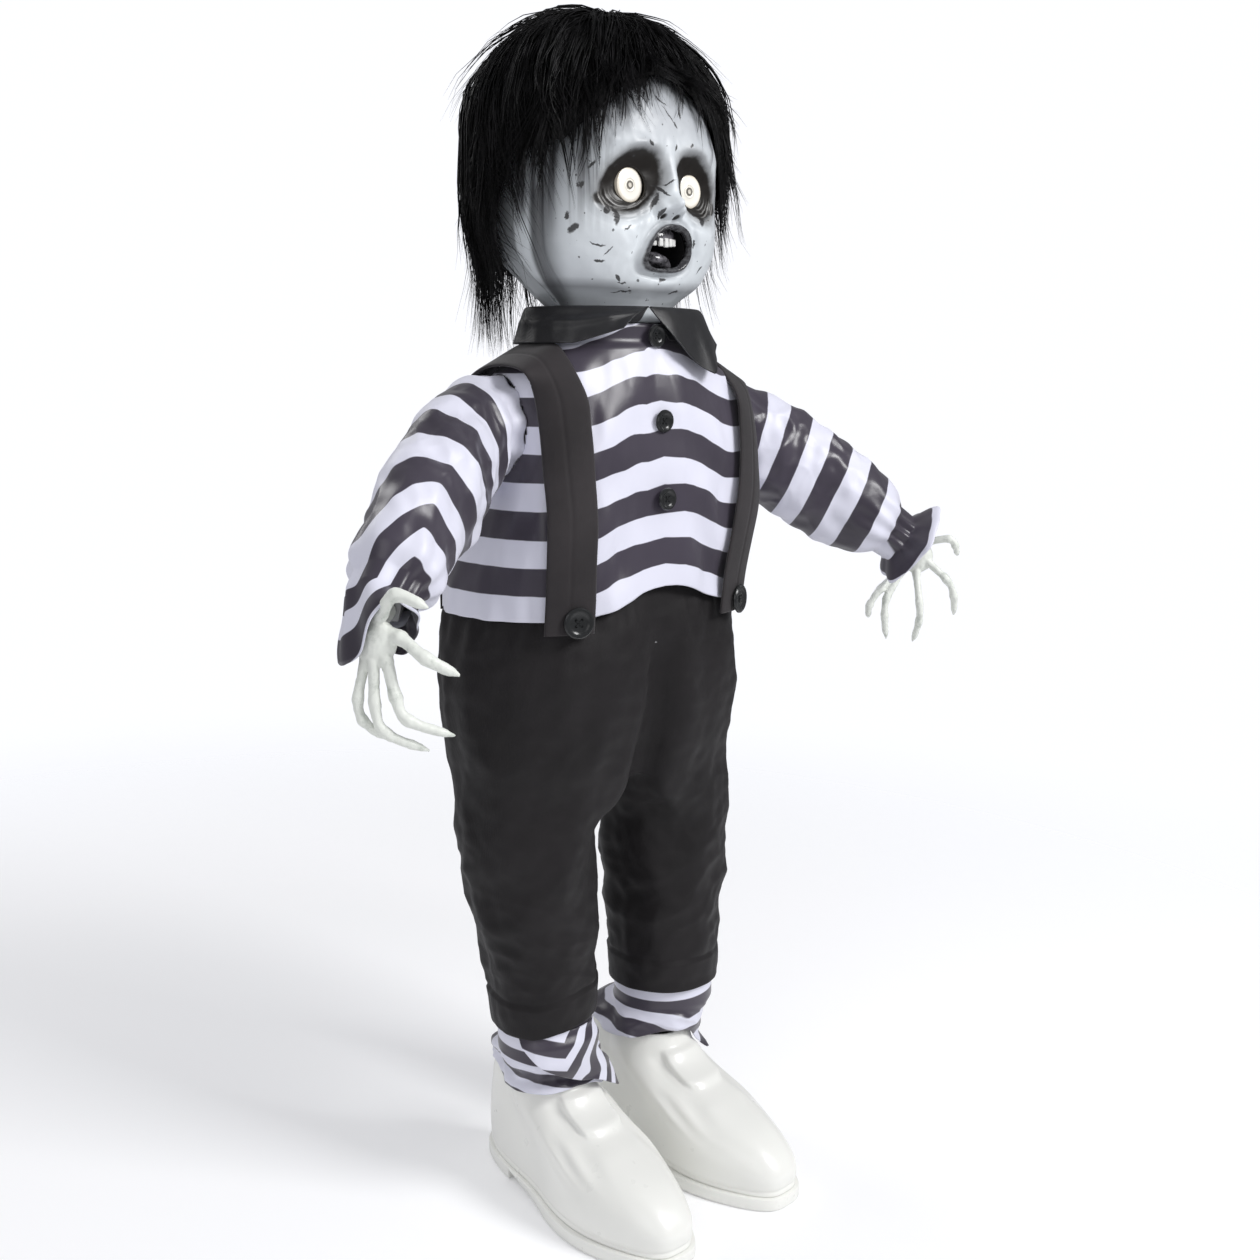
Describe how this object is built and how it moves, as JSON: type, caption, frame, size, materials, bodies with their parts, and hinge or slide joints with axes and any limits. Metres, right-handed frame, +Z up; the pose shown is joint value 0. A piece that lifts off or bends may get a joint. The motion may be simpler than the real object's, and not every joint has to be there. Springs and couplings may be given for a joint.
{
  "type": "animated halloween figure",
  "caption": "Free-standing animated scare doll in striped shirt, braces and black trousers, with turning head, lit eyes and posable arms.",
  "frame": {"origin": "centre of the whole figure's box on the floor it stands on", "axes": "+Z up; the figure faces -Y and its own left hand is on the +X side"},
  "size_m": [0.5841, 0.25, 0.9146],
  "materials": {
    "shoe_vinyl": "glossy off-white vinyl",
    "hand_vinyl": "satin pale vinyl with grey creases",
    "face_vinyl": "satin pale vinyl, airbrushed grey and black",
    "striped_satin": "satin cloth with wide dark and white stripes",
    "black_twill": "matt near-black cloth",
    "black_satin": "black satin",
    "button_black": "glossy black",
    "wig_black": "black synthetic hair",
    "lens_white": "warm white translucent lens",
    "tooth_white": "glossy white",
    "tongue_dark": "glossy dark grey",
    "lining_black": "matt black",
    "plastic_black": "moulded black",
    "plastic_grey": "moulded grey",
    "steel": "plain steel",
    "brass": "turned brass",
    "board_green": "green board",
    "cell_wrap": "plain wrapped cell",
    "button_red": "glossy red"
  },
  "bodies": {
    "torso": {"ankle_cuff_left": "striped_satin", "ankle_cuff_right": "striped_satin", "ankle_socket_left": "plastic_black", "ankle_socket_right": "plastic_black", "battery_box": "plastic_black", "battery_cell_1": "cell_wrap", "battery_cell_2": "cell_wrap", "battery_cell_3": "cell_wrap", "brace_button_left": "button_black", "brace_button_right": "button_black", "brace_left": "black_twill", "brace_right": "black_twill", "chest_shell_back": "plastic_black", "chest_shell_front": "plastic_black", "circuit_board": "board_green", "collar_left": "black_satin", "collar_right": "black_satin", "head_motor": "plastic_black", "hip_plate": "plastic_grey", "leg_tube_left": "steel", "leg_tube_right": "steel", "neck_bushing": "brass", "shirt_body": "striped_satin", "shirt_button_1": "button_black", "shirt_button_2": "button_black", "shirt_button_3": "button_black", "shoe_sole_left": "shoe_vinyl", "shoe_sole_right": "shoe_vinyl", "shoe_upper_left": "shoe_vinyl", "shoe_upper_right": "shoe_vinyl", "shoulder_bar": "steel", "speaker": "plastic_black", "spine_bracket": "steel", "trousers": "black_twill"},
    "head": {"head_gear": "plastic_grey", "neck_shaft": "steel", "face_mask": "face_vinyl", "head_back_shell": "face_vinyl", "neck_plate": "plastic_grey", "eye_lens_left": "lens_white", "eye_lens_right": "lens_white", "eye_lamp_left": "lens_white", "eye_lamp_right": "lens_white", "mouth_liner": "lining_black", "upper_teeth": "tooth_white", "tongue": "tongue_dark", "wig": "wig_black"},
    "pinion": {"motor_pinion": "brass"},
    "arm_right": {"arm_core_right": "plastic_grey", "sleeve_right": "striped_satin"},
    "arm_left": {"arm_core_left": "plastic_grey", "sleeve_left": "striped_satin"},
    "hand_right": {"hand_right": "hand_vinyl"},
    "hand_left": {"hand_left": "hand_vinyl"},
    "door": {"battery_door": "plastic_black"},
    "switch": {"power_switch": "plastic_grey"},
    "try_me": {"try_me_button": "button_red"}
  },
  "joints": [
    {"name": "head_turn", "type": "hinge", "parent": "torso", "child": "head", "pos_m": [0, 0.018, 0.596], "axis": [0, 0, 1], "range_deg": [-40, 40]},
    {"name": "pinion_spin", "type": "hinge", "parent": "torso", "child": "pinion", "pos_m": [0.0324, 0.018, 0.596], "axis": [0, 0, 1], "range_deg": [-90, 90]},
    {"name": "arm_swing_right", "type": "hinge", "parent": "torso", "child": "arm_right", "pos_m": [-0.106, 0.036, 0.615], "axis": [-1, 0, 0], "range_deg": [-25, 35]},
    {"name": "arm_swing_left", "type": "hinge", "parent": "torso", "child": "arm_left", "pos_m": [0.106, 0.036, 0.615], "axis": [-1, 0, 0], "range_deg": [-25, 35]},
    {"name": "wrist_twist_right", "type": "hinge", "parent": "arm_right", "child": "hand_right", "pos_m": [-0.262, -0.062, 0.512], "axis": [-0.6896, -0.4406, -0.5747], "range_deg": [-35, 35]},
    {"name": "wrist_twist_left", "type": "hinge", "parent": "arm_left", "child": "hand_left", "pos_m": [0.262, -0.062, 0.512], "axis": [0.6896, -0.4406, -0.5747], "range_deg": [-35, 35]},
    {"name": "door_swing", "type": "hinge", "parent": "torso", "child": "door", "pos_m": [-0.013, 0.1047, 0.503], "axis": [-1, 0, 0], "range_deg": [0, 90]},
    {"name": "switch_slide", "type": "slide", "parent": "torso", "child": "switch", "axis": [0, 0, 1], "range_m": [0, 0.006]},
    {"name": "try_me_press", "type": "slide", "parent": "torso", "child": "try_me", "axis": [0, -1, 0], "range_m": [0, 0.003], "stiffness_N_per_m": 300}
  ],
  "couplings": [
    {"joint": "pinion_spin", "follows": "head_turn", "ratio": -2}
  ]
}
